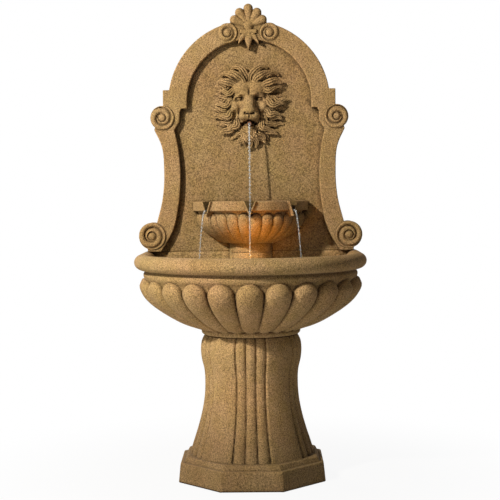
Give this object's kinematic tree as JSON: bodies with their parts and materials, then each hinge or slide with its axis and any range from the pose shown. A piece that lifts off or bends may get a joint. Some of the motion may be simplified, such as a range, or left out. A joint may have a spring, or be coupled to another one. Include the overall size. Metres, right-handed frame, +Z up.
{
  "type": "floor fountain",
  "caption": "Pedestal floor fountain of cast stone: gadrooned basin, arched backplate with lion mask spout, small half-round spill bowl, pump and tilting lamp.",
  "frame": {"origin": "middle of the overall box, on the floor", "axes": "+Z up, the front faces -Y, +X to the viewer's right, the flat back is at +Y"},
  "size_m": [0.718, 0.552, 1.473],
  "materials": {
    "cast_stone": "matte cast stone, sandy tan with dark staining in the recesses",
    "mask_stone": "matte cast stone, sandy tan with dark staining in the recesses",
    "cover_plastic": "matte tan moulded sheet",
    "fixing_steel": "plain stainless",
    "spout_copper": "dull copper tube",
    "vinyl_tube": "clear soft vinyl",
    "black_plastic": "fine moulded grain",
    "dial_plastic": "fine moulded grain, blue",
    "black_rubber": "matte rubber",
    "magnet": "sintered ferrite",
    "impeller_plastic": "natural nylon",
    "shaft_ceramic": "polished ceramic",
    "core_steel": "stacked laminations",
    "coil_copper": "enamelled winding wire",
    "lamp_metal": "black painted",
    "lamp_glass": "clear amber lens",
    "led_board": "white board with yellow emitters"
  },
  "bodies": {
    "fountain": {"pedestal": "cast_stone", "basin": "cast_stone", "backplate": "cast_stone", "lion_mask": "mask_stone", "bowl_riser": "cast_stone", "rear_channel_cover": "cover_plastic", "cover_screws": "fixing_steel", "locating_dowels": "fixing_steel", "spout_tube": "spout_copper", "tube_elbow": "black_plastic", "supply_tube": "vinyl_tube", "hose_clamps": "fixing_steel", "pump_housing": "black_plastic", "pump_front_cover": "black_plastic", "pump_rear_cover": "black_plastic", "shaft_bushes": "black_rubber", "stator_core": "core_steel", "stator_coil": "coil_copper", "pump_outlet": "black_plastic", "suction_cups": "black_rubber", "pump_cord_gland": "black_rubber", "lamp_base": "lamp_metal", "lamp_bracket": "fixing_steel"},
    "upper_bowl": {"upper_bowl": "cast_stone"},
    "drain_stopper": {"drain_stopper": "black_rubber"},
    "rotor": {"pump_rotor": "magnet", "impeller": "impeller_plastic", "impeller_shaft": "shaft_ceramic"},
    "flow_dial": {"flow_dial": "dial_plastic"},
    "lamp_head": {"lamp_housing": "lamp_metal", "lamp_bezel": "lamp_metal", "lamp_lens": "lamp_glass", "lamp_gasket": "black_rubber", "lamp_led_board": "led_board", "lamp_cord_gland": "black_rubber", "lamp_pivot_screws": "fixing_steel"}
  },
  "joints": [
    {"name": "bowl_lift", "type": "slide", "parent": "fountain", "child": "upper_bowl", "axis": [0, 0, 1], "range_m": [0, 0.085]},
    {"name": "stopper_pull", "type": "slide", "parent": "fountain", "child": "drain_stopper", "axis": [0, 0, 1], "range_m": [0, 0.06]},
    {"name": "rotor_spin", "type": "hinge", "parent": "fountain", "child": "rotor", "pos_m": [0, 0.2, 0.526], "axis": [0, 1, 0], "continuous": true},
    {"name": "dial_turn", "type": "hinge", "parent": "fountain", "child": "flow_dial", "pos_m": [0, 0.175, 0.526], "axis": [0, 1, 0], "range_deg": [0, 22.5]},
    {"name": "lamp_tilt", "type": "hinge", "parent": "fountain", "child": "lamp_head", "pos_m": [0, -0.04, 0.529], "axis": [1, 0, 0], "range_deg": [-40, 40]}
  ]
}
